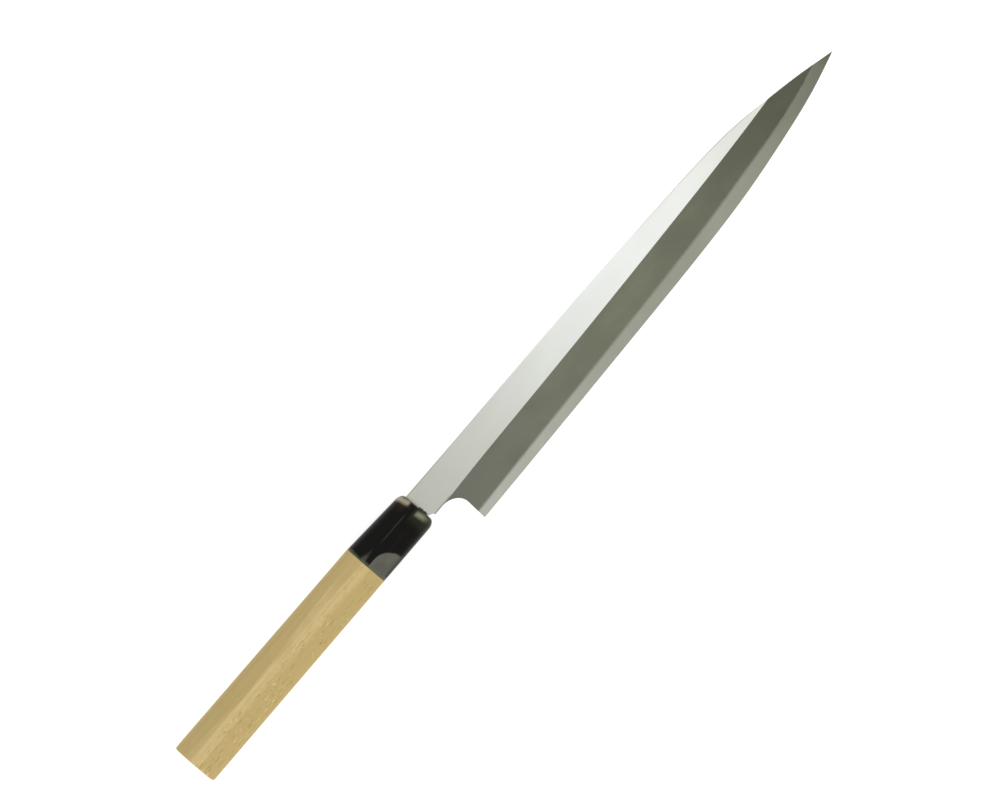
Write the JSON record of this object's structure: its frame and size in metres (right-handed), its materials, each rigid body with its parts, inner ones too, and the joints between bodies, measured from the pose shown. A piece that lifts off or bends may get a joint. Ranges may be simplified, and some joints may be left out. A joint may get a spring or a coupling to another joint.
{
  "type": "yanagiba knife",
  "caption": "Long single-bevel slicing knife with a hollow-backed two-metal blade, a black horn ferrule and a D-shaped wooden handle.",
  "frame": {"origin": "under the middle of the whole knife, in the plane that its handle rests on when the hollow back faces down", "axes": "+X from the handle's butt to the tip of the blade, +Y from the cutting edge to the spine, +Z out of the ground face of the blade"},
  "size_m": [0.3956, 0.0348, 0.0178],
  "materials": {
    "soft_iron": "satin",
    "edge_steel": "satin",
    "horn": "polished",
    "wood": "plain"
  },
  "bodies": {
    "root": {"blade_body": "soft_iron", "edge_steel": "edge_steel", "ferrule": "horn", "handle": "wood"}
  },
  "joints": []
}
